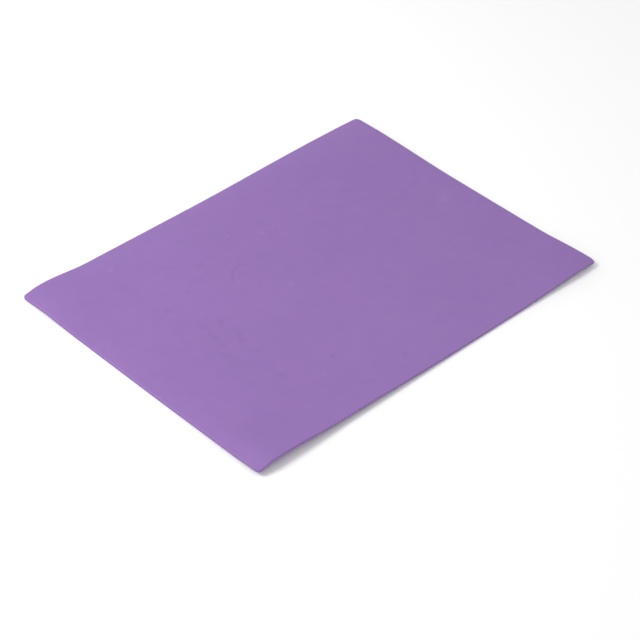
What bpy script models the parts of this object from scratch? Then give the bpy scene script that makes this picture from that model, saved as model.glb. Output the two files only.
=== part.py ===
"""A rectangular sheet of closed-cell craft foam, lying loose on a level floor.

The sheet is one piece. Its middle lies flat, and low swells lift it from the floor near its
corners and along one long side. Units are metres, with +Z up. The long sides run along X, and
the origin is on the floor, under the middle of the sheet.
"""

import math
from collections import namedtuple

import bmesh
import bpy
from mathutils import Vector

# The sheet
SHEET_LENGTH = 0.3048
SHEET_WIDTH = 0.2286
SHEET_THICKNESS = 0.002
CORNER_RADIUS = 0.0024
ARRIS_RADIUS = 0.0003

# How finely the curves are cut into flat faces
CELL_SIZE = 0.009
CORNER_STEPS = 5
ARRIS_STEPS = 2
ARRIS_ANGLE = math.radians(50)
SMOOTH_ANGLE = math.radians(40)

# The swells. A crest stands so far in from the short end and the long side that it is nearest to,
# and the swell fades to nothing over its run along the length and its run across the width.
# An end of -1 is the one at -X and 1 the one at +X, and a side likewise along Y. A crest whose distance
# is below 0 lies past the edge, so only its slope reaches the sheet. A droop has a height below 0: it
# lets the sheet sink back towards the floor at its corner.
Swell = namedtuple("Swell", "end side from_end from_side run_along run_across height")
FRONT_LEFT_SWELL = Swell(
    end=-1, side=-1, from_end=0.0157, from_side=-0.035, run_along=0.0567, run_across=0.0636, height=0.0047
)
FRONT_LEFT_DROOP = Swell(
    end=-1, side=-1, from_end=0.0, from_side=0.0, run_along=0.0115, run_across=0.09, height=-0.0018
)
FRONT_SIDE_SWELL = Swell(
    end=-1, side=-1, from_end=0.0295, from_side=-0.001, run_along=0.17, run_across=0.1, height=0.003
)
FRONT_RIGHT_SWELL = Swell(
    end=1, side=-1, from_end=0.019, from_side=0.011, run_along=0.066, run_across=0.042, height=0.0022
)
FRONT_RIGHT_CURL = Swell(
    end=1, side=-1, from_end=0.016, from_side=-0.003, run_along=0.026, run_across=0.019, height=0.0009
)
BACK_RIGHT_SWELL = Swell(
    end=1, side=1, from_end=0.04, from_side=0.021, run_along=0.125, run_across=0.08, height=0.0024
)
BACK_LEFT_SWELL = Swell(
    end=-1, side=1, from_end=0.018, from_side=0.012, run_along=0.036, run_across=0.048, height=0.0027
)
BACK_LEFT_DROOP = Swell(
    end=-1, side=1, from_end=0.0, from_side=0.0, run_along=0.013, run_across=0.026, height=-0.0011
)
SWELLS = (
    FRONT_LEFT_SWELL,
    FRONT_LEFT_DROOP,
    FRONT_SIDE_SWELL,
    FRONT_RIGHT_SWELL,
    FRONT_RIGHT_CURL,
    BACK_RIGHT_SWELL,
    BACK_LEFT_SWELL,
    BACK_LEFT_DROOP,
)

# The foam's colour (linear red, green, blue, alpha) and finish
FOAM_COLOUR = (0.306, 0.184, 0.467, 1.0)
FOAM_ROUGHNESS = 0.8


def clear_scene():
    """Remove every object in the file."""
    for scene_object in list(bpy.data.objects):
        bpy.data.objects.remove(scene_object, do_unlink=True)


def foam_material():
    """Return the matt purple foam."""
    material = bpy.data.materials.new("purple_foam")
    material.use_nodes = True
    surface = material.node_tree.nodes["Principled BSDF"]
    surface.inputs["Base Color"].default_value = FOAM_COLOUR
    surface.inputs["Roughness"].default_value = FOAM_ROUGHNESS
    surface.inputs["Metallic"].default_value = 0.0
    return material


def fade(distance, run):
    """Return 1 at a crest, falling smoothly to 0 at the end of its run and beyond."""
    share = min(abs(distance) / run, 1.0)
    return (1 + math.cos(math.pi * share)) / 2


def lift(x, y):
    """Return the height of the sheet's underside above the floor at a point."""
    height = 0.0
    for swell in SWELLS:
        crest_x = swell.end * (SHEET_LENGTH / 2 - swell.from_end)
        crest_y = swell.side * (SHEET_WIDTH / 2 - swell.from_side)
        height += swell.height * fade(x - crest_x, swell.run_along) * fade(y - crest_y, swell.run_across)
    return height


def cut_into_cells(mesh, size, direction):
    """Cut a flat mesh into equal strips across one direction, about one cell wide."""
    strips = round(size / CELL_SIZE)
    for cut in range(1, strips):
        bmesh.ops.bisect_plane(
            mesh,
            geom=mesh.verts[:] + mesh.edges[:] + mesh.faces[:],
            plane_co=direction * (cut * size / strips - size / 2),
            plane_no=direction,
        )


def underside_mesh():
    """Return the sheet's underside: a rectangle with rounded corners, lifted by the swells."""
    flat = bmesh.new()
    bmesh.ops.create_grid(flat, x_segments=1, y_segments=1, size=0.5)
    bmesh.ops.scale(flat, vec=Vector((SHEET_LENGTH, SHEET_WIDTH, 1)), verts=flat.verts[:])
    bmesh.ops.bevel(
        flat,
        geom=flat.verts[:],
        offset=CORNER_RADIUS,
        offset_type="OFFSET",
        segments=CORNER_STEPS,
        profile=0.5,
        affect="VERTICES",
    )
    cut_into_cells(flat, SHEET_LENGTH, Vector((1, 0, 0)))
    cut_into_cells(flat, SHEET_WIDTH, Vector((0, 1, 0)))
    for vertex in flat.verts:
        vertex.co.z = lift(vertex.co.x, vertex.co.y)
    mesh = bpy.data.meshes.new("foam_sheet")
    flat.to_mesh(mesh)
    flat.free()
    return mesh


def make_foam_sheet(collection):
    """Build the sheet up from its underside and round the arrises of its cut edge."""
    sheet = bpy.data.objects.new("foam_sheet", underside_mesh())
    collection.objects.link(sheet)
    sheet.data.materials.append(foam_material())

    body = sheet.modifiers.new("thickness", "SOLIDIFY")
    body.thickness = SHEET_THICKNESS
    body.offset = 1.0
    body.use_even_offset = True

    arris = sheet.modifiers.new("arrises", "BEVEL")
    arris.width = ARRIS_RADIUS
    arris.segments = ARRIS_STEPS
    arris.limit_method = "ANGLE"
    arris.angle_limit = ARRIS_ANGLE

    sheet.data.shade_smooth()
    sheet.data.set_sharp_from_angle(angle=SMOOTH_ANGLE)
    return sheet


def main():
    """Build the craft foam sheet in a collection of its own."""
    clear_scene()
    collection = bpy.data.collections.new("craft_foam_sheet")
    bpy.context.scene.collection.children.link(collection)
    make_foam_sheet(collection)


main()
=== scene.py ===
# The looks of the craft foam sheet: its fine surface, its finish, the light and the camera.
import math
from collections import namedtuple

import bmesh
import bpy
import numpy as np
from mathutils import Matrix, Vector, noise


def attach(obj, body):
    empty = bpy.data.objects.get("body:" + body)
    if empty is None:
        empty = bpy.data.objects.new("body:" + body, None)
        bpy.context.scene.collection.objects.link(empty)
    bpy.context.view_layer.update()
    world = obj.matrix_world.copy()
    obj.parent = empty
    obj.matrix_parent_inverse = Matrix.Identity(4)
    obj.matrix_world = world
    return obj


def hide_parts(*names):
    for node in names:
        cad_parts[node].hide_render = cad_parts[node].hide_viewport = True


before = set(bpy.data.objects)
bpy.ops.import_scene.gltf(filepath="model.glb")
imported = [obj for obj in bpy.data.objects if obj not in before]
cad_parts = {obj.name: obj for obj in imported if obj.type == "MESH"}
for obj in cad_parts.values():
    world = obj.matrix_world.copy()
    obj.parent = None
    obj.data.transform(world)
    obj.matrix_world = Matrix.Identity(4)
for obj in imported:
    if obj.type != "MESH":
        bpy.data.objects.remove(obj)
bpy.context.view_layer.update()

MM = 0.001

# The sheet's sizes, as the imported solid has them
SHEET_NODE = "foam_sheet"
SHEET_LENGTH = 304.8 * MM
SHEET_WIDTH = 228.6 * MM
SHEET_THICKNESS = 2.0 * MM

# The corners: how far each is rounded, and how much thinner the cutting die pinched it
Corner = namedtuple("Corner", "end side radius pinch")
CORNERS = (
    Corner(end=-1, side=-1, radius=2.0 * MM, pinch=0.2 * MM),
    Corner(end=1, side=-1, radius=2.0 * MM, pinch=1.6 * MM),
    Corner(end=1, side=1, radius=3.0 * MM, pinch=0.6 * MM),
    Corner(end=-1, side=1, radius=2.8 * MM, pinch=0.0 * MM),
)
PINCH_REACH = 5 * MM

# The swells that lift the sheet from the floor. A crest stands so far in from the short end and the
# long side that it is nearest to, and fades to nothing over its run along and its run across. A crest
# whose distance is below 0 lies past the edge, so only its slope reaches the sheet. A droop has a
# height below 0: it lets the sheet sink back towards the floor at its corner.
Swell = namedtuple("Swell", "end side from_end from_side run_along run_across height")
FRONT_LEFT_SWELL = Swell(
    end=-1, side=-1, from_end=0.0157, from_side=-0.035, run_along=0.0567, run_across=0.0636, height=0.0047
)
FRONT_LEFT_DROOP = Swell(
    end=-1, side=-1, from_end=0.0, from_side=0.0, run_along=0.0115, run_across=0.09, height=-0.0018
)
FRONT_SIDE_SWELL = Swell(
    end=-1, side=-1, from_end=0.0295, from_side=-0.001, run_along=0.17, run_across=0.1, height=0.003
)
FRONT_RIGHT_SWELL = Swell(
    end=1, side=-1, from_end=0.019, from_side=0.011, run_along=0.066, run_across=0.042, height=0.0022
)
FRONT_RIGHT_CURL = Swell(
    end=1, side=-1, from_end=0.016, from_side=-0.003, run_along=0.026, run_across=0.019, height=0.0009
)
BACK_RIGHT_SWELL = Swell(
    end=1, side=1, from_end=0.04, from_side=0.021, run_along=0.125, run_across=0.08, height=0.0024
)
BACK_LEFT_SWELL = Swell(
    end=-1, side=1, from_end=0.018, from_side=0.012, run_along=0.036, run_across=0.048, height=0.0027
)
BACK_LEFT_DROOP = Swell(
    end=-1, side=1, from_end=0.0, from_side=0.0, run_along=0.013, run_across=0.026, height=-0.0011
)
SWELLS = (
    FRONT_LEFT_SWELL,
    FRONT_LEFT_DROOP,
    FRONT_SIDE_SWELL,
    FRONT_RIGHT_SWELL,
    FRONT_RIGHT_CURL,
    BACK_RIGHT_SWELL,
    BACK_LEFT_SWELL,
    BACK_LEFT_DROOP,
)

# The fine mesh: even cells in the middle, a band of narrow ones at the rim, and finer ones at the marks.
# The margin round a mark is in millimetres, as the marks are. A face belongs to the top face if its
# normal points up by more than FACES_UP, and TINY keeps a division clear of 0.
CELL_SIZE = 1.7 * MM
RIM_BAND = 2.4 * MM
RIM_CELLS = 4
MARK_CUTS = 3
MARK_MARGIN = 3
CUT_FACE_ROWS = 5
ARRIS_RADIUS = 0.4 * MM
ARRIS_STEPS = 4
ARRIS_ANGLE = math.radians(50)
FACES_UP = 0.5
TINY = 1e-9

# The top face's rise, and the rim, where the cutting die pressed the foam down and rolled it over, and
# left the cut faces a little hollow
FACE_RISE = 0.38 * MM
MARGIN_REACH = 14 * MM
MARGIN_DROP = 0.4 * MM
ROLL_REACH = 2.2 * MM
ROLL_DEPTH = 0.15 * MM
WAIST_DEPTH = 0.06 * MM

# How far the wear reaches from an arris, and the painted light from an edge. A place as level as
# LEVEL_ENOUGH isn't on a cut face, and one above HALFWAY_UP, as a share of the thickness, belongs to the
# upper half.
WEAR_REACH = 1.6 * MM
RIM_LIGHT_REACH = 24 * MM
LEVEL_ENOUGH = 0.83
HALFWAY_UP = 0.5

# The crease that crosses the sheet near its left end. It falls steeply on its left, and rises gently on
# its right, and the foam is crinkled along it.
CREASE_FRONT = -84 * MM
CREASE_BACK = -99 * MM
CREASE_DEPTH = 0.3 * MM
CREASE_LEFT_RUN = 10 * MM
CREASE_END_RUN = 25 * MM
CREASE_RIGHT_RUN = 40 * MM

# The waves: two in the top face, one in the crease, one that makes the cut faces wander, and two that
# make the marks' outlines uneven. Lengths and heights are in millimetres, and the seed sets each apart.
Wave = namedtuple("Wave", "length height seed")
LONG_WAVE = Wave(length=48, height=0.08, seed=3.7)
SHORT_WAVE = Wave(length=17, height=0.02, seed=8.2)
CRINKLE = Wave(length=5, height=0.07, seed=2.6)
FACE_WANDER = Wave(length=14, height=0.07, seed=5.1)
UNEVEN_ALONG = Wave(length=3.2, height=1.2, seed=1.3)
UNEVEN_ACROSS = Wave(length=3.2, height=1.2, seed=6.4)

# The marks in the top face: small dents, bumps and specks. Sizes and places are in millimetres, the turn
# is in degrees from +X, a depth below 0 stands up, and a tone below 0 makes the foam darker.
Mark = namedtuple("Mark", "x y length width turn depth tone")
MARKS = (
    Mark(x=-98.5, y=76.5, length=12, width=9, turn=50, depth=0.14, tone=-0.6),
    Mark(x=-92.5, y=97, length=7, width=6, turn=0, depth=-0.07, tone=0.7),
    Mark(x=-12.5, y=69.8, length=4.6, width=3.8, turn=-30, depth=0.12, tone=-1.0),
    Mark(x=-11, y=71.8, length=5, width=4, turn=-30, depth=-0.06, tone=0.5),
    Mark(x=8.6, y=59.5, length=12, width=4.8, turn=98, depth=-0.1, tone=0.8),
    Mark(x=9, y=50.5, length=5, width=4, turn=0, depth=0.06, tone=-0.9),
    Mark(x=14.6, y=49, length=8, width=7, turn=0, depth=0.1, tone=0.0),
    Mark(x=-46, y=61, length=15, width=9, turn=10, depth=0.08, tone=-0.5),
    Mark(x=-92, y=38.5, length=8, width=6, turn=115, depth=0.1, tone=-0.7),
    Mark(x=-70, y=45, length=7, width=6, turn=0, depth=0.07, tone=-0.5),
    Mark(x=-86.3, y=12, length=20, width=7, turn=96, depth=0.08, tone=-0.7),
    Mark(x=-75, y=6.5, length=15, width=8, turn=62, depth=0.1, tone=-0.7),
    Mark(x=-87.9, y=-2, length=13, width=9, turn=90, depth=0.09, tone=-0.75),
    Mark(x=-88.5, y=-10.5, length=10, width=6, turn=80, depth=0.07, tone=-0.65),
    Mark(x=-73.8, y=-9.5, length=9, width=8, turn=60, depth=0.08, tone=-0.6),
    Mark(x=-75.8, y=-15, length=10, width=6, turn=90, depth=0.08, tone=-0.6),
    Mark(x=-95.5, y=-20.5, length=14, width=3.6, turn=33, depth=0.03, tone=-0.15),
    Mark(x=-75.7, y=-29.3, length=7, width=6, turn=0, depth=0.05, tone=-0.45),
    Mark(x=-14.5, y=4.5, length=8, width=6.5, turn=20, depth=-0.06, tone=0.4),
    Mark(x=-45.5, y=-67, length=5.2, width=4.2, turn=10, depth=0.16, tone=-1.0),
    Mark(x=-82, y=-58, length=13, width=9, turn=10, depth=0.07, tone=-0.45),
    Mark(x=-22, y=-48.5, length=8, width=6.5, turn=30, depth=0.08, tone=-0.7),
    Mark(x=129, y=4, length=20, width=11, turn=25, depth=-0.1, tone=0.6),
    Mark(x=133, y=-13, length=8, width=6, turn=0, depth=-0.05, tone=0.3),
    Mark(x=128, y=36, length=9, width=8, turn=0, depth=-0.05, tone=0.35),
    Mark(x=69.5, y=52, length=10, width=7, turn=-20, depth=-0.06, tone=0.45),
    Mark(x=91, y=44, length=6, width=5.5, turn=0, depth=-0.06, tone=0.65),
    Mark(x=28, y=71, length=7, width=6, turn=0, depth=-0.04, tone=0.2),
    Mark(x=97, y=-32, length=5.6, width=5, turn=0, depth=0.12, tone=-0.9),
    Mark(x=74.5, y=-28.5, length=5, width=4.4, turn=0, depth=0.08, tone=-0.5),
    Mark(x=90, y=-91, length=6, width=5, turn=40, depth=0.1, tone=-0.45),
    Mark(x=-44.5, y=-101, length=8, width=6, turn=-30, depth=0.08, tone=-0.6),
    Mark(x=-10.5, y=-96, length=11, width=8, turn=60, depth=0.05, tone=-0.4),
)

# The painted patches: broad, faint painted shade and painted light, darker or lighter than the rest of the
# face, and without depth
PaintedPatch = namedtuple("PaintedPatch", "x y length width turn tone")
PAINTED_PATCHES = (
    PaintedPatch(x=-146, y=112, length=92, width=52, turn=0, tone=-0.65),
    PaintedPatch(x=-142, y=54, length=60, width=64, turn=0, tone=-0.18),
    PaintedPatch(x=-120, y=86, length=34, width=26, turn=0, tone=0.12),
    PaintedPatch(x=-128, y=-102, length=110, width=90, turn=0, tone=-0.25),
    PaintedPatch(x=-122, y=-44, length=36, width=30, turn=0, tone=-0.1),
    PaintedPatch(x=-80, y=1, length=50, width=32, turn=95, tone=-0.18),
    PaintedPatch(x=-45, y=92, length=84, width=36, turn=0, tone=0.16),
    PaintedPatch(x=-36, y=0, length=110, width=60, turn=0, tone=0.18),
    PaintedPatch(x=-8, y=-76, length=160, width=120, turn=0, tone=0.2),
    PaintedPatch(x=85, y=50, length=40, width=40, turn=0, tone=-0.2),
    PaintedPatch(x=88, y=-90, length=60, width=56, turn=0, tone=-0.2),
    PaintedPatch(x=110, y=12, length=50, width=110, turn=0, tone=-0.24),
    PaintedPatch(x=130, y=-55, length=90, width=150, turn=0, tone=-0.2),
    PaintedPatch(x=140, y=-104, length=76, width=44, turn=0, tone=-0.4),
)

# The scratches, each through its places in millimetres
Scratch = namedtuple("Scratch", "places width depth tone")
SCRATCHES = (
    Scratch(
        places=((-42, 31), (-38.5, 35.5), (-32.5, 42), (-27.5, 43.2), (-18.5, 37.8)),
        width=4.4,
        depth=0.22,
        tone=-0.45,
    ),
    Scratch(places=((-136, -50), (-134, -62), (-132, -78), (-131, -94)), width=5, depth=0.03, tone=-0.15),
    Scratch(places=((58, -24.5), (66, -19.5), (73, -12)), width=2.2, depth=0.08, tone=0.0),
    Scratch(places=((-10, -1), (0, -13)), width=2.2, depth=0.1, tone=-0.2),
)

# The finish. Sizes are those of its soft patches, its foam cells and its open pores.
CLOUD_SIZE = 70 * MM
MOTTLE_SIZE = 9 * MM
GRAIN_SIZE = 1.6 * MM
CELL_WIDTH = 0.32 * MM
PORE_SPACING = 2.6 * MM
PORE_WIDTH = 0.16 * MM
CLOUD_DETAIL = 2.0
MOTTLE_DETAIL = 4.0
GRAIN_DETAIL = 3.0

# How much each noise counts in the patches, and how strongly the scuffs with the painted light, the painted
# light of the margins, the painted shade of the cut faces, the pressed places with the painted shade, and
# the painted shade of the pores colour the foam
CLOUD_SHARE = 0.3
MOTTLE_SHARE = 0.4
GRAIN_SHARE = 0.3
SCUFF_AND_LIGHT_SHARE = 0.4
RIM_LIGHT_SHARE = 0.1
CUT_SHADE_SHARE = 0.5
PRESS_AND_SHADE_SHARE = 0.4
PORE_SHADE_SHARE = 0.6

# How values are moved from one range to another. A grain from low to high wears the arrises so much,
# and the distance from the middle of a cell shows the walls of the cells, and where they are cut open.
Change = namedtuple("Change", "low high to_low to_high")
PATCH_CHANGE = Change(low=0.35, high=0.65, to_low=0.0, to_high=1.0)
WEAR_CHANGE = Change(low=0.35, high=0.6, to_low=0.1, to_high=0.5)
WALL_CHANGE = Change(low=0.1, high=0.75, to_low=0.0, to_high=0.16)
OPEN_CHANGE = Change(low=0.15, high=0.55, to_low=0.5, to_high=0.0)
PORE_CHANGE = Change(low=0.0, high=PORE_WIDTH / PORE_SPACING, to_low=1.0, to_high=0.0)
ROUGH_CHANGE = Change(low=0.3, high=0.7, to_low=0.74, to_high=0.86)

# The gloss, and the heights of the finest unevenness, which are true ones and so not scaled
SPECULAR_LEVEL = 0.35
PRESSED_GLOSS = 0.12
HEIGHT_SCALE = 1.0
CELL_HEIGHT = 0.06 * MM
GRAIN_HEIGHT = 0.03 * MM
PORE_DEPTH = 0.05 * MM
OPEN_CELL_DEPTH = 0.1 * MM

# The sockets of a colour mix. They share their names with others, so they are found by number.
MIX_SHARE = 0
MIX_FIRST = 6
MIX_SECOND = 7
MIX_RESULT = 2

# The foam's colours (linear red, green, blue, alpha)
FOAM_PALE = (0.2725, 0.1463, 0.408, 1.0)
FOAM_DEEP = (0.2435, 0.1335, 0.39, 1.0)
# The pale colour: scuffs, worn arrises and cell walls, and also the painted light of the margins and of the
# lighter patches
SCUFF_AND_PAINTED_LIGHT_COLOUR = (0.342, 0.208, 0.491, 1.0)
# The dark colour: pressed marks, and also the painted shade of the darker patches, of the cut faces and of
# the pores
PRESSED_AND_PAINTED_SHADE_COLOUR = (0.194, 0.1, 0.326, 1.0)
# Painted shade in the cut-open cells of the cut faces
OPEN_CELL_SHADE_COLOUR = (0.15, 0.075, 0.265, 1.0)

# The camera, which looks down on the sheet as in the photo. Its azimuth is that of the picture's right.
AIM_POINT = Vector((-0.02415, -0.03224, 0.0))
CAMERA_AZIMUTH = math.radians(-44.54)
CAMERA_ELEVATION = math.radians(39.41)
CAMERA_ROLL = math.radians(1.43)
CAMERA_DISTANCE = 1.4266
CAMERA_LENS = 123.97
SENSOR_WIDTH = 36.0

# The light: a soft key from the left of the picture, in a white surround that dims towards its top
KEY_AZIMUTH = math.radians(145)
KEY_ELEVATION = math.radians(48)
KEY_DISTANCE = 1.15
KEY_SIZE = 0.5
KEY_POWER = 6.7
SURROUND_CHANGE = Change(low=0.0, high=1.0, to_low=1.24, to_high=0.52)
WHITE = (1.0, 1.0, 1.0, 1.0)

# The floor
FLOOR_SIZE = 30.0
FLOOR_DROP = 0.1 * MM
FLOOR_COLOUR = (0.97, 0.97, 0.97, 1.0)
FLOOR_ROUGHNESS = 0.9
FLOOR_SPECULAR = 0.0


def fade(distance, run):
    """Return 1 at a crest, falling smoothly to 0 at the end of its run and beyond."""
    share = np.minimum(np.abs(distance) / run, 1.0)
    return (1 + np.cos(math.pi * share)) / 2


def lift(x, y):
    """Return the height of the sheet's underside above the floor."""
    height = np.zeros_like(x)
    for swell in SWELLS:
        crest_x = swell.end * (SHEET_LENGTH / 2 - swell.from_end)
        crest_y = swell.side * (SHEET_WIDTH / 2 - swell.from_side)
        height += swell.height * fade(x - crest_x, swell.run_along) * fade(y - crest_y, swell.run_across)
    return height


def rim_distance(x, y):
    """Return how far in from the nearest edge each place is."""
    return np.minimum(SHEET_LENGTH / 2 - np.abs(x), SHEET_WIDTH / 2 - np.abs(y))


def at_corner(x, y, corner):
    """Tell for each place whether this corner is the nearest."""
    return ((x > 0) == (corner.end > 0)) & ((y > 0) == (corner.side > 0))


def painted_rim_light_share(x, y):
    """Return how much painted light the margins get, which they do on all sides but the right one."""
    distance = np.minimum(x + SHEET_LENGTH / 2, SHEET_WIDTH / 2 - np.abs(y))
    return np.clip(1 - distance / RIM_LIGHT_REACH, 0, 1)


def arris_distance(x, y, z):
    """Return how far each place is from the nearer of the two arrises round the rim."""
    above = z - lift(x, y)
    from_face = np.minimum(np.abs(above), np.abs(SHEET_THICKNESS - above))
    return np.hypot(rim_distance(x, y), from_face)


def wave(x, y, kind):
    """Return how far a smooth, uneven wave of this kind stands up or down at each place."""
    length = kind.length * MM
    shares = [noise.noise(Vector((a / length, b / length, kind.seed))) for a, b in zip(x, y)]
    return np.array(shares) * kind.height * MM


def unsettle(x, y):
    """Shift places a little to and fro, so that the marks drawn over them get uneven outlines."""
    return x + wave(x, y, UNEVEN_ALONG), y + wave(x, y, UNEVEN_ACROSS)


def mark_share(x, y, mark):
    """Return 1 in the middle of a mark, falling to 0 at its outline."""
    cosine = math.cos(math.radians(mark.turn))
    sine = math.sin(math.radians(mark.turn))
    from_x = x - mark.x * MM
    from_y = y - mark.y * MM
    along = (from_x * cosine + from_y * sine) / (mark.length * MM / 2)
    across = (from_y * cosine - from_x * sine) / (mark.width * MM / 2)
    return fade(np.hypot(along, across), 1.0)


def scratch_share(x, y, scratch):
    """Return 1 along the middle of a scratch, falling to 0 at its sides and towards its ends."""
    places = np.array(scratch.places) * MM
    share = np.zeros_like(x)
    steps = len(places) - 1
    for step, (start, end) in enumerate(zip(places, places[1:])):
        run = end - start
        along = ((x - start[0]) * run[0] + (y - start[1]) * run[1]) / (run @ run)
        along = np.clip(along, 0, 1)
        across = np.hypot(x - start[0] - along * run[0], y - start[1] - along * run[1])
        taper = np.sqrt(np.sin(math.pi * (step + along) / steps))
        share = np.maximum(share, fade(across, scratch.width * MM / 2) * taper)
    return share


def near_a_mark(x, y):
    """Tell for each place whether it lies in or close to a mark or a scratch."""
    near = np.zeros(len(x), dtype=bool)
    for mark in MARKS:
        wider = mark._replace(length=mark.length + MARK_MARGIN, width=mark.width + MARK_MARGIN)
        near |= mark_share(x, y, wider) > 0
    for scratch in SCRATCHES:
        near |= scratch_share(x, y, scratch._replace(width=scratch.width + MARK_MARGIN)) > 0
    return near


def line_places(size):
    """Return where the mesh's lines cross one side: evenly in the middle, close together at the rims."""
    half = size / 2
    cells = round((size - 2 * RIM_BAND) / CELL_SIZE)
    middle = np.linspace(-half + RIM_BAND, half - RIM_BAND, cells + 1)
    rim = np.linspace(0, RIM_BAND, RIM_CELLS + 1)[:-1]
    return np.concatenate([-half + rim, middle, (half - rim)[::-1]])


def round_corners(x, y):
    """Draw the square corners of the flat mesh in onto their arcs."""
    radius = sum(at_corner(x, y, corner) * corner.radius for corner in CORNERS)
    over_x = np.maximum(np.abs(x) - (SHEET_LENGTH / 2 - radius), 0) / radius
    over_y = np.maximum(np.abs(y) - (SHEET_WIDTH / 2 - radius), 0) / radius
    reach = np.hypot(over_x, over_y)
    pull = np.where(reach > 0, np.maximum(over_x, over_y) / np.maximum(reach, TINY), 1.0)
    inward = radius * (1 - pull)
    return x - np.sign(x) * inward * over_x, y - np.sign(y) * inward * over_y


def read_places(mesh):
    """Return the mesh's vertex positions as rows of x, y and z."""
    places = np.empty(len(mesh.vertices) * 3)
    mesh.vertices.foreach_get("co", places)
    return places.reshape(-1, 3)


def write_places(mesh, places):
    """Move the mesh's vertices to these positions."""
    mesh.vertices.foreach_set("co", places.ravel())
    mesh.update()


def underside_mesh():
    """Return a fine mesh of the sheet's underside, with its rounded corners and its swells."""
    lines_x = line_places(SHEET_LENGTH)
    lines_y = line_places(SHEET_WIDTH)
    grid = bmesh.new()
    bmesh.ops.create_grid(grid, x_segments=len(lines_x) - 1, y_segments=len(lines_y) - 1, size=1)
    mesh = bpy.data.meshes.new("foam_sheet_fine")
    grid.to_mesh(mesh)
    grid.free()

    places = read_places(mesh)
    column = np.rint((places[:, 0] + 1) / 2 * (len(lines_x) - 1)).astype(int)
    row = np.rint((places[:, 1] + 1) / 2 * (len(lines_y) - 1)).astype(int)
    x, y = round_corners(lines_x[column], lines_y[row])
    write_places(mesh, np.stack([x, y, lift(x, y)], axis=1))
    return mesh


def edge_height(edge):
    """Return how much higher one end of an edge is than the other."""
    first, second = edge.verts
    return abs(first.co.z - second.co.z)


def refine(mesh):
    """Cut the mesh finer on the cut faces, and at the marks of the top face."""
    fine = bmesh.new()
    fine.from_mesh(mesh)
    upright = [edge for edge in fine.edges if edge_height(edge) > SHEET_THICKNESS / 2]
    bmesh.ops.subdivide_edges(fine, edges=upright, cuts=CUT_FACE_ROWS - 1)

    tops = [face for face in fine.faces if face.normal.z > FACES_UP]
    middles = np.array([face.calc_center_median() for face in tops])
    marked = set()
    for index in np.flatnonzero(near_a_mark(middles[:, 0], middles[:, 1])):
        marked.update(tops[index].edges)
    bmesh.ops.subdivide_edges(fine, edges=list(marked), cuts=MARK_CUTS, use_grid_fill=True)
    fine.to_mesh(mesh)
    fine.free()


def crease(x, y):
    """Return how far the crease stands below the face round it."""
    share = y / SHEET_WIDTH + 0.5
    aside = x - CREASE_FRONT - (CREASE_BACK - CREASE_FRONT) * share
    run = np.where(aside < 0, CREASE_LEFT_RUN, CREASE_RIGHT_RUN)
    crinkle = wave(x, y, CRINKLE) * fade(aside, CREASE_LEFT_RUN)
    end_share = np.clip((SHEET_WIDTH / 2 - y) / CREASE_END_RUN, 0, 1)
    return (CREASE_DEPTH * fade(aside, run) + crinkle) * end_share


def pinch(x, y):
    """Return how far the corners are pinched down."""
    distance = np.hypot(SHEET_LENGTH / 2 - np.abs(x), SHEET_WIDTH / 2 - np.abs(y))
    share = np.clip(1 - distance / PINCH_REACH, 0, 1) ** 2
    return share * sum(at_corner(x, y, corner) * corner.pinch for corner in CORNERS)


def top_relief(x, y):
    """Return how far the top face stands above its plain form."""
    relief = FACE_RISE + wave(x, y, LONG_WAVE) + wave(x, y, SHORT_WAVE)
    relief -= crease(x, y) + pinch(x, y)
    relief -= MARGIN_DROP * np.clip(1 - rim_distance(x, y) / MARGIN_REACH, 0, 1) ** 2
    relief -= ROLL_DEPTH * np.clip(1 - rim_distance(x, y) / ROLL_REACH, 0, 1) ** 2
    uneven_x, uneven_y = unsettle(x, y)
    for mark in MARKS:
        relief -= mark.depth * MM * mark_share(uneven_x, uneven_y, mark)
    for scratch in SCRATCHES:
        relief -= scratch.depth * MM * scratch_share(uneven_x, uneven_y, scratch)
    return relief


def shape_surface(mesh):
    """Press the relief into the top face, and make the cut faces a little hollow and uneven."""
    x, y, z = read_places(mesh).T
    rise = np.clip((z - lift(x, y)) / SHEET_THICKNESS, 0, 1)
    closeness = np.clip(1 - rim_distance(x, y) / ROLL_REACH, 0, 1)
    shift = wave(x, y, FACE_WANDER) * closeness
    shift -= WAIST_DEPTH * np.sin(math.pi * rise) * closeness
    at_end = SHEET_LENGTH / 2 - np.abs(x) < ROLL_REACH
    at_side = SHEET_WIDTH / 2 - np.abs(y) < ROLL_REACH
    moved_x = x + np.sign(x) * shift * at_end
    moved_y = y + np.sign(y) * shift * at_side
    write_places(mesh, np.stack([moved_x, moved_y, z + rise * top_relief(x, y)], axis=1))


def note_wear(mesh):
    """Store where the foam has paler marks and painted light, painted light along its margins, darker marks
    and painted shade, cut faces, and wear at its arrises.
    """
    x, y, z = read_places(mesh).T
    on_top = (z - lift(x, y)) / SHEET_THICKNESS > HALFWAY_UP
    uneven_x, uneven_y = unsettle(x, y)
    # The marks and scratches carry their own tones; the painted patches carry painted light and painted
    # shade
    tone = sum(mark.tone * mark_share(uneven_x, uneven_y, mark) for mark in MARKS + PAINTED_PATCHES)
    tone += sum(scratch.tone * scratch_share(uneven_x, uneven_y, scratch) for scratch in SCRATCHES)
    tone *= on_top
    level = np.array([abs(normal.vector.z) for normal in mesh.vertex_normals])
    shares = {
        "scuffed_and_painted_light": np.clip(tone, 0, 1),
        "painted_rim_light": painted_rim_light_share(x, y) * on_top,
        "pressed_and_painted_shade": np.clip(-tone, 0, 1),
        "cut": np.clip(1 - level / LEVEL_ENOUGH, 0, 1),
        "worn": np.clip(1 - arris_distance(x, y, z) / WEAR_REACH, 0, 1),
    }
    for name, values in shares.items():
        attribute = mesh.attributes.new(name, "FLOAT", "POINT")
        attribute.data.foreach_set("value", values.astype(np.float32))


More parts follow.
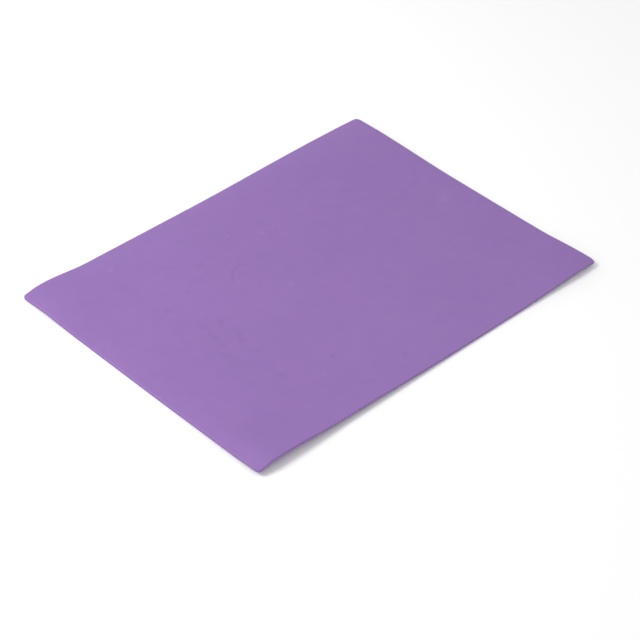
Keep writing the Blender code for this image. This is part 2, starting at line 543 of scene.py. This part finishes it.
def make_sheet():
    """Build the sheet up from its underside, round its arrises and give it its fine surface."""
    sheet = bpy.data.objects.new("foam_sheet_fine", underside_mesh())
    bpy.context.scene.collection.objects.link(sheet)

    body = sheet.modifiers.new("thickness", "SOLIDIFY")
    body.thickness = SHEET_THICKNESS
    body.offset = 1.0
    body.use_even_offset = True

    arris = sheet.modifiers.new("arrises", "BEVEL")
    arris.width = ARRIS_RADIUS
    arris.segments = ARRIS_STEPS
    arris.limit_method = "ANGLE"
    arris.angle_limit = ARRIS_ANGLE

    evaluated = sheet.evaluated_get(bpy.context.evaluated_depsgraph_get())
    shaped = bpy.data.meshes.new_from_object(evaluated)
    sheet.modifiers.clear()
    sheet.data = shaped

    refine(shaped)
    shape_surface(shaped)
    note_wear(shaped)
    shaped.materials.clear()
    shaped.materials.append(foam_material())
    shaped.shade_smooth()
    return sheet


def noise_layer(tree, place, size, detail):
    """Return a soft noise from 0 to 1 with features of this size."""
    layer = tree.nodes.new("ShaderNodeTexNoise")
    layer.inputs["Scale"].default_value = 1 / size
    layer.inputs["Detail"].default_value = detail
    tree.links.new(place, layer.inputs["Vector"])
    return layer.outputs["Fac"]


def cell_layer(tree, place, size):
    """Return how far each point is from the middle of its cell, in cells of this size."""
    layer = tree.nodes.new("ShaderNodeTexVoronoi")
    layer.inputs["Scale"].default_value = 1 / size
    tree.links.new(place, layer.inputs["Vector"])
    return layer.outputs["Distance"]


def attribute_layer(tree, name):
    """Return a share that is stored on the mesh."""
    layer = tree.nodes.new("ShaderNodeAttribute")
    layer.attribute_name = name
    return layer.outputs["Fac"]


def remap(tree, value, change):
    """Return a value moved from one range to another, and held inside it."""
    step = tree.nodes.new("ShaderNodeMapRange")
    step.inputs["From Min"].default_value = change.low
    step.inputs["From Max"].default_value = change.high
    step.inputs["To Min"].default_value = change.to_low
    step.inputs["To Max"].default_value = change.to_high
    tree.links.new(value, step.inputs["Value"])
    return step.outputs["Result"]


def combine(tree, operation, first, second):
    """Return two values added, multiplied or otherwise combined."""
    step = tree.nodes.new("ShaderNodeMath")
    step.operation = operation
    for socket, value in zip(step.inputs, (first, second)):
        if isinstance(value, float):
            socket.default_value = value
        else:
            tree.links.new(value, socket)
    return step.outputs["Value"]


def mix_colours(tree, share, first, second):
    """Return two colours mixed by a share from 0 to 1."""
    mix = tree.nodes.new("ShaderNodeMix")
    mix.data_type = "RGBA"
    tree.links.new(share, mix.inputs[MIX_SHARE])
    for socket, colour in ((mix.inputs[MIX_FIRST], first), (mix.inputs[MIX_SECOND], second)):
        if isinstance(colour, tuple):
            socket.default_value = colour
        else:
            tree.links.new(colour, socket)
    return mix.outputs[MIX_RESULT]


def foam_layers(tree):
    """Return the noises, the cells and the stored shares that the finish is made of, by name."""
    place = tree.nodes.new("ShaderNodeTexCoord").outputs["Object"]
    cells = cell_layer(tree, place, CELL_WIDTH)
    grain = noise_layer(tree, place, GRAIN_SIZE, GRAIN_DETAIL)
    cut = attribute_layer(tree, "cut")
    worn = attribute_layer(tree, "worn")
    return {
        "cloud": noise_layer(tree, place, CLOUD_SIZE, CLOUD_DETAIL),
        "mottle": noise_layer(tree, place, MOTTLE_SIZE, MOTTLE_DETAIL),
        "grain": grain,
        "cells": cells,
        "pores": remap(tree, cell_layer(tree, place, PORE_SPACING), PORE_CHANGE),
        "cut": cut,
        "open_cells": combine(tree, "MULTIPLY", cut, remap(tree, cells, OPEN_CHANGE)),
        "worn": combine(tree, "MULTIPLY", worn, remap(tree, grain, WEAR_CHANGE)),
        # Stored shares: the scuffs with painted light, the painted light along the margins, and the pressed
        # marks with painted shade
        "scuffed_and_painted_light": attribute_layer(tree, "scuffed_and_painted_light"),
        "painted_rim_light": attribute_layer(tree, "painted_rim_light"),
        "pressed_and_painted_shade": attribute_layer(tree, "pressed_and_painted_shade"),
    }


def foam_colour(tree, layers):
    """Return the foam's colour: soft patches and cell walls, then marks and wear with painted light and
    shade, and painted shade on the cut faces, in the pores and in the open cells.
    """
    patches = combine(tree, "MULTIPLY", layers["cloud"], CLOUD_SHARE)
    for name, share in (("mottle", MOTTLE_SHARE), ("grain", GRAIN_SHARE)):
        patches = combine(tree, "ADD", patches, combine(tree, "MULTIPLY", layers[name], share))
    colour = mix_colours(tree, remap(tree, patches, PATCH_CHANGE), FOAM_DEEP, FOAM_PALE)
    colour = mix_colours(tree, remap(tree, layers["cells"], WALL_CHANGE), colour, SCUFF_AND_PAINTED_LIGHT_COLOUR)
    # Paler marks, and the painted light of the lighter patches
    scuffed_and_painted_light = combine(tree, "MULTIPLY", layers["scuffed_and_painted_light"], SCUFF_AND_LIGHT_SHARE)
    colour = mix_colours(tree, scuffed_and_painted_light, colour, SCUFF_AND_PAINTED_LIGHT_COLOUR)
    # Painted light along the margins
    painted_rim_light = combine(tree, "MULTIPLY", layers["painted_rim_light"], RIM_LIGHT_SHARE)
    colour = mix_colours(tree, painted_rim_light, colour, SCUFF_AND_PAINTED_LIGHT_COLOUR)
    # Painted shade on the cut faces
    cut = combine(tree, "MULTIPLY", layers["cut"], CUT_SHADE_SHARE)
    colour = mix_colours(tree, cut, colour, PRESSED_AND_PAINTED_SHADE_COLOUR)
    colour = mix_colours(tree, layers["worn"], colour, SCUFF_AND_PAINTED_LIGHT_COLOUR)
    # Darker marks, and the painted shade of the darker patches
    pressed_and_painted_shade = combine(tree, "MULTIPLY", layers["pressed_and_painted_shade"], PRESS_AND_SHADE_SHARE)
    colour = mix_colours(tree, pressed_and_painted_shade, colour, PRESSED_AND_PAINTED_SHADE_COLOUR)
    # Painted shade in the pores
    pores = combine(tree, "MULTIPLY", layers["pores"], PORE_SHADE_SHARE)
    colour = mix_colours(tree, pores, colour, PRESSED_AND_PAINTED_SHADE_COLOUR)
    # Painted shade in the cut-open cells
    return mix_colours(tree, layers["open_cells"], colour, OPEN_CELL_SHADE_COLOUR)


def foam_roughness(tree, layers):
    """Return how rough the foam is: uneven with the grain, and a little smoother at the darker marks and
    the painted shade.
    """
    gloss = combine(tree, "MULTIPLY", layers["pressed_and_painted_shade"], PRESSED_GLOSS)
    return combine(tree, "SUBTRACT", remap(tree, layers["grain"], ROUGH_CHANGE), gloss)


def foam_normal(tree, layers):
    """Return the slopes of the cells and the grain, and of the pores and the open cells sunk in them."""
    height = combine(tree, "MULTIPLY", layers["cells"], CELL_HEIGHT)
    height = combine(tree, "ADD", height, combine(tree, "MULTIPLY", layers["grain"], GRAIN_HEIGHT))
    height = combine(tree, "SUBTRACT", height, combine(tree, "MULTIPLY", layers["pores"], PORE_DEPTH))
    sunk = combine(tree, "MULTIPLY", layers["open_cells"], OPEN_CELL_DEPTH)
    height = combine(tree, "SUBTRACT", height, sunk)
    bump = tree.nodes.new("ShaderNodeBump")
    bump.inputs["Distance"].default_value = HEIGHT_SCALE
    tree.links.new(height, bump.inputs["Height"])
    return bump.outputs["Normal"]


def foam_material():
    """Return the foam's finish: matt and finely celled, with soft patches, pores, wear and bare cells, and
    with painted light and shade.
    """
    material = bpy.data.materials.new("purple_foam")
    material.use_nodes = True
    tree = material.node_tree
    surface = tree.nodes["Principled BSDF"]
    surface.inputs["Specular IOR Level"].default_value = SPECULAR_LEVEL
    layers = foam_layers(tree)
    tree.links.new(foam_colour(tree, layers), surface.inputs["Base Color"])
    tree.links.new(foam_roughness(tree, layers), surface.inputs["Roughness"])
    tree.links.new(foam_normal(tree, layers), surface.inputs["Normal"])
    return material


def add_floor():
    """Add the plain pale floor that the sheet lies on."""
    bpy.ops.mesh.primitive_plane_add(size=FLOOR_SIZE, location=(0, 0, -FLOOR_DROP))
    floor = bpy.context.object
    floor.name = "floor"
    material = bpy.data.materials.new("pale_floor")
    material.use_nodes = True
    surface = material.node_tree.nodes["Principled BSDF"]
    surface.inputs["Base Color"].default_value = FLOOR_COLOUR
    surface.inputs["Roughness"].default_value = FLOOR_ROUGHNESS
    surface.inputs["Specular IOR Level"].default_value = FLOOR_SPECULAR
    floor.data.materials.append(material)


def direction(azimuth, elevation):
    """Return the unit vector towards a place at this angle round from +X and above the floor."""
    level = math.cos(elevation)
    return Vector((level * math.cos(azimuth), level * math.sin(azimuth), math.sin(elevation)))


def add_key():
    """Add the soft key light."""
    data = bpy.data.lights.new("key", "AREA")
    data.shape = "DISK"
    data.size = KEY_SIZE
    data.energy = KEY_POWER
    key = bpy.data.objects.new("key", data)
    toward = direction(KEY_AZIMUTH, KEY_ELEVATION)
    key.location = toward * KEY_DISTANCE
    key.rotation_euler = toward.to_track_quat("Z", "Y").to_euler()
    bpy.context.scene.collection.objects.link(key)


def add_surround():
    """Add the white surround, brightest at the horizon."""
    world = bpy.data.worlds.new("surround")
    world.use_nodes = True
    tree = world.node_tree
    background = tree.nodes["Background"]
    background.inputs["Color"].default_value = WHITE
    way = tree.nodes.new("ShaderNodeTexCoord").outputs["Generated"]
    parts = tree.nodes.new("ShaderNodeSeparateXYZ")
    tree.links.new(way, parts.inputs["Vector"])
    strength = remap(tree, parts.outputs["Z"], SURROUND_CHANGE)
    tree.links.new(strength, background.inputs["Strength"])
    bpy.context.scene.world = world


def add_camera():
    """Add the camera at the photo's viewing angle."""
    back = direction(CAMERA_AZIMUTH - math.pi / 2, CAMERA_ELEVATION)
    right = Vector((math.cos(CAMERA_AZIMUTH), math.sin(CAMERA_AZIMUTH), 0))
    up = back.cross(right)
    rolled_right = right * math.cos(CAMERA_ROLL) + up * math.sin(CAMERA_ROLL)
    rolled_up = up * math.cos(CAMERA_ROLL) - right * math.sin(CAMERA_ROLL)
    data = bpy.data.cameras.new("camera")
    data.lens = CAMERA_LENS
    data.sensor_width = SENSOR_WIDTH
    camera = bpy.data.objects.new("camera", data)
    turn = Matrix((rolled_right, rolled_up, back)).transposed().to_4x4()
    camera.matrix_world = Matrix.Translation(AIM_POINT + back * CAMERA_DISTANCE) @ turn
    bpy.context.scene.collection.objects.link(camera)
    bpy.context.scene.camera = camera


# The sheet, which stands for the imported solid
sheet = make_sheet()
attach(sheet, "root")
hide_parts(SHEET_NODE)

# The studio, with the colours shown as they are
add_floor()
add_key()
add_surround()
add_camera()
bpy.context.scene.view_settings.view_transform = "Standard"

# Bring the scene up to date
bpy.context.view_layer.update()
